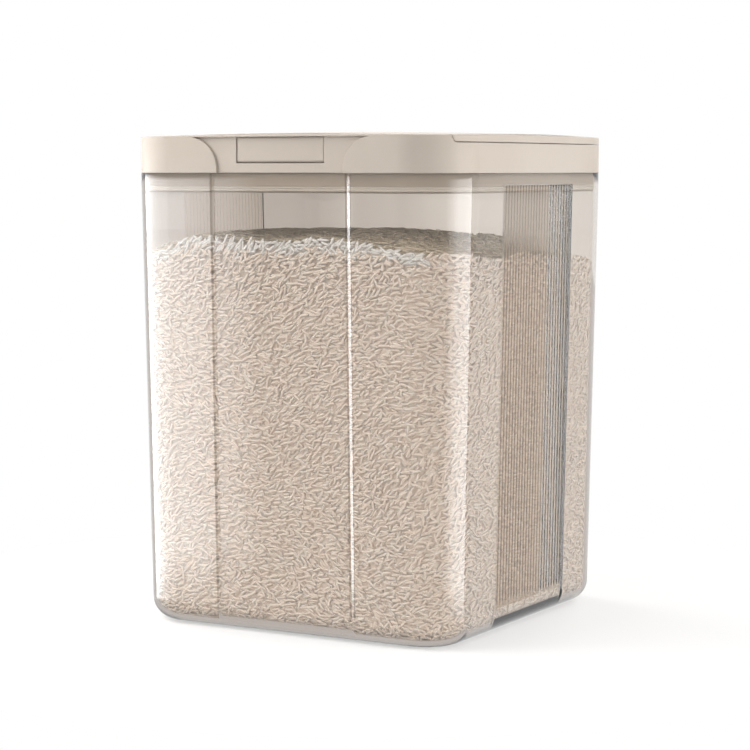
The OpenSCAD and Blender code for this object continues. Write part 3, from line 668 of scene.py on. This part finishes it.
def rice_core():
    """Bulk of the rice behind the grains that show."""
    n = 4 * CORE_COLUMNS
    s = np.arange(n) / CORE_COLUMNS
    foot = np.linspace(0.0, FOOT_IN * math.pi / 2, 8)
    levels = [*foot, *np.arange(25.0, 215.0, 10.0)]
    rings = [inner_place(s, np.full(n, v), np.full(n, CORE_DEPTH)) for v in levels]
    edge = inner_place(s, np.full(n, CORE_TOP_V), np.full(n, CORE_DEPTH))
    for share in np.linspace(0.0, 0.97, 34):
        flat = edge[:, :2] * (1.0 - share)
        z = fill_height(flat[:, 0], flat[:, 1]) - CORE_DROP
        rings.append(np.concatenate([flat, z[:, None]], axis=1))
    return lofted("rice_core", rings, RICE_WALL)


rice_pieces = [rice_core()]
crest_parts = []
for side, piece_name in enumerate(("rice_right", "rice_back", "rice_left", "rice_front")):
    grains, depth_below = wall_grains(side, WALL_SEED + side)
    # Grains of the crest take the whiter rice: painted light
    crest = (depth_below < CREST) & (grains[0][:, 0] < CREST_X) & (side >= LEFT_SIDE)
    rice_pieces.append(grain_mesh(piece_name, *[part[~crest] for part in grains], RICE_WALL))
    crest_parts.append([part[crest] for part in grains])
crest_grains = [np.concatenate(parts) for parts in zip(*crest_parts)]
rice_pieces.append(grain_mesh("rice_crest_painted_light", *crest_grains, RICE_PAINTED_LIGHT))
# The open surface takes the darker rice: painted shade
rice_pieces.append(grain_mesh("rice_top_painted_shade", *top_grains(TOP_SEED), RICE_PAINTED_SHADE))
for piece in rice_pieces:
    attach(piece, "bin")

# ---------------------------------------------------------------- floor, world and lamps

BACKDROP = (0.49, 0.45, 0.425, 1.0)             # what shows through the clear walls
BACKDROP_RIGHT = (0.79, 0.76, 0.73, 1.0)        # and what shows where the camera looks further right
RIGHT_FROM, RIGHT_TO = -0.525, -0.44            # X of the direction over which the one turns into the other

FLOOR_HALF = 4000.0
FLOOR_Z = -0.05
FLOOR_COLOUR = (0.93, 0.925, 0.915, 1.0)
# The floor's own shade near the bin gives way to plain white further out, for the camera
NEAR_WHITE, FAR_WHITE = 0.45, 1.0
WHITE_FROM, WHITE_TO = 0.15, 0.36               # m from the bin's middle

ROOM_LIGHT = (1.0, 0.985, 0.965, 1.0)
ROOM_LEVEL = 0.15
LAMP_COLOUR = (1.0, 0.992, 0.98)
LAMP_TARGET = (0.0, 0.0, 0.15)
# Azimuth and elevation, distance and size in m, and the level that a lamp adds
LAMPS = {
    "key": (-54.0, 45.0, 0.80, (0.42, 0.55), 0.86),
    "left_front": (-25.0, 32.0, 1.1, (0.6, 0.6), 0.15),
    "right_front": (62.0, 30.0, 0.9, (0.6, 0.6), 0.18),
    "right_box": (95.0, 25.0, 1.1, (0.6, 0.6), 0.50),
    "left_box": (-112.0, 30.0, 1.2, (0.6, 0.6), 0.45),
    "back_box": (180.0, 34.0, 1.6, (0.8, 0.8), 0.50),
    "overhead": (0.0, 88.0, 2.0, (1.4, 1.4), 0.15),
}

CARD_COLOUR = (0.98, 0.985, 1.0, 1.0)
CARD_RADIUS = 4000.0
CARD_COLUMNS = 60


def seen_through(tree, path):
    """One where the camera looks through plastic, before the light is scattered."""
    unscattered = add(tree, "ShaderNodeMath", operation="LESS_THAN")
    link(tree, path.outputs["Diffuse Depth"], unscattered.inputs[0])
    unscattered.inputs[1].default_value = 0.5
    return combined(tree, "MULTIPLY", path.outputs["Is Transmission Ray"], unscattered.outputs[0])


def floor_look():
    """Pale floor that keeps the bin's shadow and turns white away from it."""
    material, tree = tree_of("floor")
    diffuse = add(tree, "ShaderNodeBsdfDiffuse", Color=FLOOR_COLOUR)
    white = add(tree, "ShaderNodeEmission", Color=WHITE, Strength=1.0)
    behind = add(tree, "ShaderNodeEmission", Color=BACKDROP, Strength=1.0)
    place = add(tree, "ShaderNodeTexCoord")
    length = add(tree, "ShaderNodeVectorMath", operation="LENGTH")
    link(tree, place.outputs["Object"], length.inputs[0])
    far = ramp(tree, length.outputs["Value"], NEAR_WHITE, FAR_WHITE, WHITE_FROM, WHITE_TO)
    path = add(tree, "ShaderNodeLightPath")
    share = combined(tree, "MULTIPLY", far, path.outputs["Is Camera Ray"])
    plain = mixed(tree, share, diffuse.outputs[0], white.outputs[0])
    surface(tree, mixed(tree, seen_through(tree, path), plain, behind.outputs[0]))
    return material


def make_world():
    """Even room light: white to the camera and in mirrors, and the backdrop through the clear walls."""
    world = bpy.data.worlds.new("studio")
    world.use_nodes = True
    tree = world.node_tree
    tree.nodes.clear()
    path = add(tree, "ShaderNodeLightPath")
    light = add(tree, "ShaderNodeBackground", Color=ROOM_LIGHT, Strength=ROOM_LEVEL)
    white = add(tree, "ShaderNodeBackground", Color=WHITE, Strength=1.0)
    behind = add(tree, "ShaderNodeBackground", Strength=1.0)
    towards = add(tree, "ShaderNodeSeparateXYZ")
    link(tree, add(tree, "ShaderNodeTexCoord").outputs["Generated"], towards.inputs[0])
    room = two_tone(tree, towards.outputs["X"], BACKDROP, BACKDROP_RIGHT, RIGHT_FROM, RIGHT_TO)
    link(tree, room, behind.inputs["Color"])
    direct = combined(tree, "MAXIMUM", path.outputs["Is Camera Ray"], path.outputs["Is Glossy Ray"])
    plain = mixed(tree, direct, light.outputs[0], white.outputs[0])
    through = mixed(tree, seen_through(tree, path), plain, behind.outputs[0])
    surface(tree, through, "ShaderNodeOutputWorld")
    bpy.context.scene.world = world


def lamp(name, azimuth, elevation, distance, size, level):
    """Area lamp that adds about this level to a surface that faces it, and that no mirror shows."""
    data = bpy.data.lights.new(name, "AREA")
    data.shape = "RECTANGLE"
    data.size, data.size_y = size
    data.energy = level * math.pi ** 2 * distance ** 2
    data.color = LAMP_COLOUR
    body = bpy.data.objects.new(name, data)
    a, e = math.radians(azimuth), math.radians(elevation)
    x, y, z = LAMP_TARGET
    body.location = (x + distance * math.sin(a) * math.cos(e), y - distance * math.cos(a) * math.cos(e),
                     z + distance * math.sin(e))
    body.rotation_euler = (math.pi / 2 - e, 0.0, a)
    body.visible_camera = False
    body.visible_transmission = False
    body.visible_glossy = False
    bpy.context.scene.collection.objects.link(body)


def card(name, stops, low, high, fade):
    """Upright card round the bin that only mirrors show, with stops of (azimuth, radiance) from left to
    right. It fades into the white of the room at its lower and upper edges."""
    azimuths, levels = np.array(stops, float).T
    columns = CARD_COLUMNS + 1
    fine = np.linspace(azimuths[0], azimuths[-1], columns)
    a = np.radians(fine)
    line = np.stack([CARD_RADIUS * np.sin(a), -CARD_RADIUS * np.cos(a)], axis=1)
    heights = (low - 0.5 * fade, low + 0.5 * fade, high - 0.5 * fade, high + 0.5 * fade)
    vertices = np.concatenate([np.c_[line, np.full(columns, z)] for z in heights])
    corners = np.array([0, 1, columns + 1, columns])
    faces = [corners + columns * k + i for k in range(len(heights) - 1) for i in range(CARD_COLUMNS)]
    material, tree = tree_of(name)
    reader = add(tree, "ShaderNodeAttribute")
    reader.attribute_name = "level"
    glow = add(tree, "ShaderNodeEmission", Color=CARD_COLOUR)
    link(tree, reader.outputs["Fac"], glow.inputs["Strength"])
    surface(tree, glow.outputs[0])
    piece = mesh_object(name, vertices, faces, material, smooth=False)
    across = np.interp(fine, azimuths, levels)
    plain = np.minimum(across, 1.0)
    attribute = piece.data.attributes.new("level", "FLOAT", "POINT")
    attribute.data.foreach_set("value", np.concatenate([plain, across, across, plain]).astype(np.float32))
    piece.visible_camera = False
    piece.visible_diffuse = False
    piece.visible_transmission = False
    piece.visible_shadow = False


floor_corners = [[x * FLOOR_HALF, y * FLOOR_HALF, FLOOR_Z] for x, y in ((-1, -1), (1, -1), (1, 1), (-1, 1))]
floor = mesh_object("floor", floor_corners, [[0, 1, 2, 3]], floor_look(), smooth=False)
floor.visible_glossy = False

make_world()
for lamp_name, settings in LAMPS.items():
    lamp(lamp_name, *settings)
card("right_card", [(66.0, 1.0), (80.0, 3.6), (92.0, 6.2), (126.0, 6.8)], low=-850.0, high=420.0, fade=90.0)
card("left_card", [(-100.0, 8.5), (-36.0, 8.2), (-34.7, 7.2), (-34.0, 6.0), (-33.4, 4.6), (-32.8, 3.4),
                   (-32.2, 1.8), (-31.8, 1.0)], low=-800.0, high=420.0, fade=160.0)

bpy.context.scene.view_settings.view_transform = "Standard"
